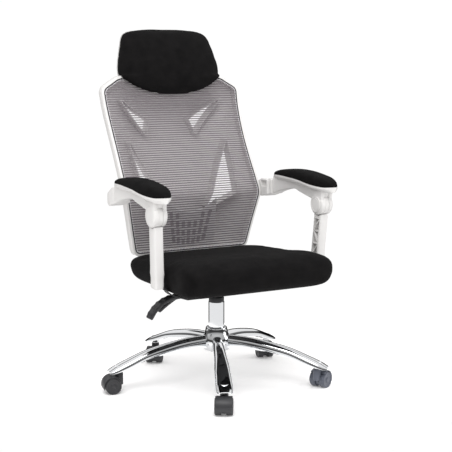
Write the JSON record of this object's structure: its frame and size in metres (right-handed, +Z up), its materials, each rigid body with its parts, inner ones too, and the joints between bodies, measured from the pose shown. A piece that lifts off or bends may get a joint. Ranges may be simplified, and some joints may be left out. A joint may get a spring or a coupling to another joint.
{
  "type": "gaming chair",
  "caption": "High-back swivel gaming chair with a reclining mesh back, padded headrest, linked folding armrests, cushioned seat, gas lift and chrome star base on twin-wheel casters.",
  "frame": {"origin": "centre of the chair's footprint box, on the floor", "axes": "+Z up, +X towards the sitter's left, -Y the way the sitter faces"},
  "size_m": [0.7018, 0.7326, 1.113],
  "materials": {
    "white_plastic": "satin white",
    "grey_mesh": "open knitted mesh with upright ribs",
    "black_fabric": "black knitted cover over foam",
    "arm_pad_foam": "soft black moulded pad",
    "chrome": "polished",
    "black_steel": "black powder coat",
    "black_plastic": "moulded black",
    "caster_nylon": "dark grey moulded nylon",
    "bright_steel": "zinc plated",
    "plywood": "bare underside"
  },
  "bodies": {
    "base": {"base_star": "chrome", "column_tube": "chrome", "column_bush": "black_plastic", "thrust_bearing": "bright_steel"},
    "lift_rod": {"piston_rod": "bright_steel"},
    "seat": {"gas_cylinder": "black_steel", "mechanism_tray": "black_steel", "recline_shaft": "bright_steel", "seat_board": "plywood", "seat_cushion": "black_fabric", "post_bracket_left": "black_steel", "post_bracket_right": "black_steel"},
    "release_button": {"release_button": "bright_steel"},
    "height_lever": {"height_lever": "bright_steel", "height_lever_grip": "black_plastic"},
    "recline_lever": {"recline_lever": "bright_steel", "recline_lever_grip": "black_plastic"},
    "back": {"back_bar": "black_steel", "back_frame": "white_plastic", "back_shell": "white_plastic", "mesh_panel": "grey_mesh", "lumbar_pad": "white_plastic", "headrest_cushion": "black_fabric", "headrest_shell": "white_plastic", "arm_bracket_left": "white_plastic", "arm_bracket_right": "white_plastic"},
    "arm_left": {"arm_body_left": "white_plastic", "arm_pad_left": "arm_pad_foam", "knee_pin_left": "white_plastic"},
    "post_left": {"post_left": "white_plastic"},
    "arm_right": {"arm_body_right": "white_plastic", "arm_pad_right": "arm_pad_foam", "knee_pin_right": "white_plastic"},
    "post_right": {"post_right": "white_plastic"},
    "caster_1": {"caster_1_hood": "caster_nylon", "caster_1_stem": "bright_steel", "caster_1_axle": "bright_steel"},
    "wheel_1a": {"caster_1_wheel_a": "caster_nylon"},
    "wheel_1b": {"caster_1_wheel_b": "caster_nylon"},
    "caster_2": {"caster_2_hood": "caster_nylon", "caster_2_stem": "bright_steel", "caster_2_axle": "bright_steel"},
    "wheel_2a": {"caster_2_wheel_a": "caster_nylon"},
    "wheel_2b": {"caster_2_wheel_b": "caster_nylon"},
    "caster_3": {"caster_3_hood": "caster_nylon", "caster_3_stem": "bright_steel", "caster_3_axle": "bright_steel"},
    "wheel_3a": {"caster_3_wheel_a": "caster_nylon"},
    "wheel_3b": {"caster_3_wheel_b": "caster_nylon"},
    "caster_4": {"caster_4_hood": "caster_nylon", "caster_4_stem": "bright_steel", "caster_4_axle": "bright_steel"},
    "wheel_4a": {"caster_4_wheel_a": "caster_nylon"},
    "wheel_4b": {"caster_4_wheel_b": "caster_nylon"},
    "caster_5": {"caster_5_hood": "caster_nylon", "caster_5_stem": "bright_steel", "caster_5_axle": "bright_steel"},
    "wheel_5a": {"caster_5_wheel_a": "caster_nylon"},
    "wheel_5b": {"caster_5_wheel_b": "caster_nylon"}
  },
  "joints": [
    {"name": "seat_swivel", "type": "hinge", "parent": "base", "child": "lift_rod", "pos_m": [0.02489, -0.01687, 0.2], "axis": [0, 0, 1], "continuous": true},
    {"name": "seat_height", "type": "slide", "parent": "lift_rod", "child": "seat", "axis": [0, 0, 1], "range_m": [0, 0.1]},
    {"name": "release_press", "type": "slide", "parent": "seat", "child": "release_button", "axis": [0, 0, -1], "range_m": [0, 0.0033]},
    {"name": "height_lever_lift", "type": "hinge", "parent": "seat", "child": "height_lever", "pos_m": [-0.03711, -0.06187, 0.3], "axis": [0, 1, 0], "range_deg": [0, 3], "stiffness_Nm_per_rad": 6, "springref_deg": -2.86},
    {"name": "recline_lever_lift", "type": "hinge", "parent": "seat", "child": "recline_lever", "pos_m": [-0.03711, -0.00487, 0.3], "axis": [0, 1, 0], "range_deg": [0, 8], "stiffness_Nm_per_rad": 2, "springref_deg": -5.73},
    {"name": "back_recline", "type": "hinge", "parent": "seat", "child": "back", "pos_m": [0.02489, 0.06813, 0.298], "axis": [-1, 0, 0], "range_deg": [0, 25]},
    {"name": "arm_left_fold", "type": "hinge", "parent": "back", "child": "arm_left", "pos_m": [0.28989, 0.11113, 0.595], "axis": [-1, 0, 0], "range_deg": [-21.7, 0]},
    {"name": "post_left_fold", "type": "hinge", "parent": "seat", "child": "post_left", "pos_m": [0.30289, -0.16487, 0.366], "axis": [-1, 0, 0], "range_deg": [0, 35.8]},
    {"name": "arm_right_fold", "type": "hinge", "parent": "back", "child": "arm_right", "pos_m": [-0.24011, 0.11113, 0.595], "axis": [-1, 0, 0], "range_deg": [-21.7, 0]},
    {"name": "post_right_fold", "type": "hinge", "parent": "seat", "child": "post_right", "pos_m": [-0.25311, -0.16487, 0.366], "axis": [-1, 0, 0], "range_deg": [0, 35.8]},
    {"name": "caster_1_swivel", "type": "hinge", "parent": "base", "child": "caster_1", "pos_m": [-0.11069, -0.30894, 0.06], "axis": [0, 0, 1], "continuous": true},
    {"name": "wheel_1a_roll", "type": "hinge", "parent": "caster_1", "child": "wheel_1a", "pos_m": [-0.12235, -0.32759, 0.025], "axis": [-0.848, 0.5299, 0], "continuous": true},
    {"name": "wheel_1b_roll", "type": "hinge", "parent": "caster_1", "child": "wheel_1b", "pos_m": [-0.12235, -0.32759, 0.025], "axis": [-0.848, 0.5299, 0], "continuous": true},
    {"name": "caster_2_swivel", "type": "hinge", "parent": "base", "child": "caster_2", "pos_m": [0.26077, -0.23606, 0.06], "axis": [0, 0, 1], "continuous": true},
    {"name": "wheel_2a_roll", "type": "hinge", "parent": "caster_2", "child": "wheel_2a", "pos_m": [0.2807, -0.22676, 0.025], "axis": [0.4226, -0.9063, 0], "continuous": true},
    {"name": "wheel_2b_roll", "type": "hinge", "parent": "caster_2", "child": "wheel_2b", "pos_m": [0.2807, -0.22676, 0.025], "axis": [0.4226, -0.9063, 0], "continuous": true},
    {"name": "caster_3_swivel", "type": "hinge", "parent": "base", "child": "caster_3", "pos_m": [0.30624, 0.13973, 0.06], "axis": [0, 0, 1], "continuous": true},
    {"name": "wheel_3a_roll", "type": "hinge", "parent": "caster_3", "child": "wheel_3a", "pos_m": [0.31194, 0.16098, 0.025], "axis": [0.9659, -0.2588, 0], "continuous": true},
    {"name": "wheel_3b_roll", "type": "hinge", "parent": "caster_3", "child": "wheel_3b", "pos_m": [0.31194, 0.16098, 0.025], "axis": [0.9659, -0.2588, 0], "continuous": true},
    {"name": "caster_4_swivel", "type": "hinge", "parent": "base", "child": "caster_4", "pos_m": [-0.03711, 0.29911, 0.06], "axis": [0, 0, 1], "continuous": true},
    {"name": "wheel_4a_roll", "type": "hinge", "parent": "caster_4", "child": "wheel_4a", "pos_m": [-0.04972, 0.28109, 0.025], "axis": [-0.8192, 0.5736, 0], "continuous": true},
    {"name": "wheel_4b_roll", "type": "hinge", "parent": "caster_4", "child": "wheel_4b", "pos_m": [-0.04972, 0.28109, 0.025], "axis": [-0.8192, 0.5736, 0], "continuous": true},
    {"name": "caster_5_swivel", "type": "hinge", "parent": "base", "child": "caster_5", "pos_m": [-0.29478, 0.02182, 0.06], "axis": [0, 0, 1], "continuous": true},
    {"name": "wheel_5a_roll", "type": "hinge", "parent": "caster_5", "child": "wheel_5a", "pos_m": [-0.3163, 0.02639, 0.025], "axis": [0.2079, 0.9781, 0], "continuous": true},
    {"name": "wheel_5b_roll", "type": "hinge", "parent": "caster_5", "child": "wheel_5b", "pos_m": [-0.3163, 0.02639, 0.025], "axis": [0.2079, 0.9781, 0], "continuous": true}
  ],
  "couplings": [
    {"joint": "release_press", "follows": "height_lever_lift", "m_per_rad": 0.062},
    {"joint": "arm_left_fold", "follows": "back_recline", "ratio": -0.8606},
    {"joint": "post_left_fold", "follows": "back_recline", "ratio": 1.426},
    {"joint": "arm_right_fold", "follows": "back_recline", "ratio": -0.8606},
    {"joint": "post_right_fold", "follows": "back_recline", "ratio": 1.426}
  ]
}
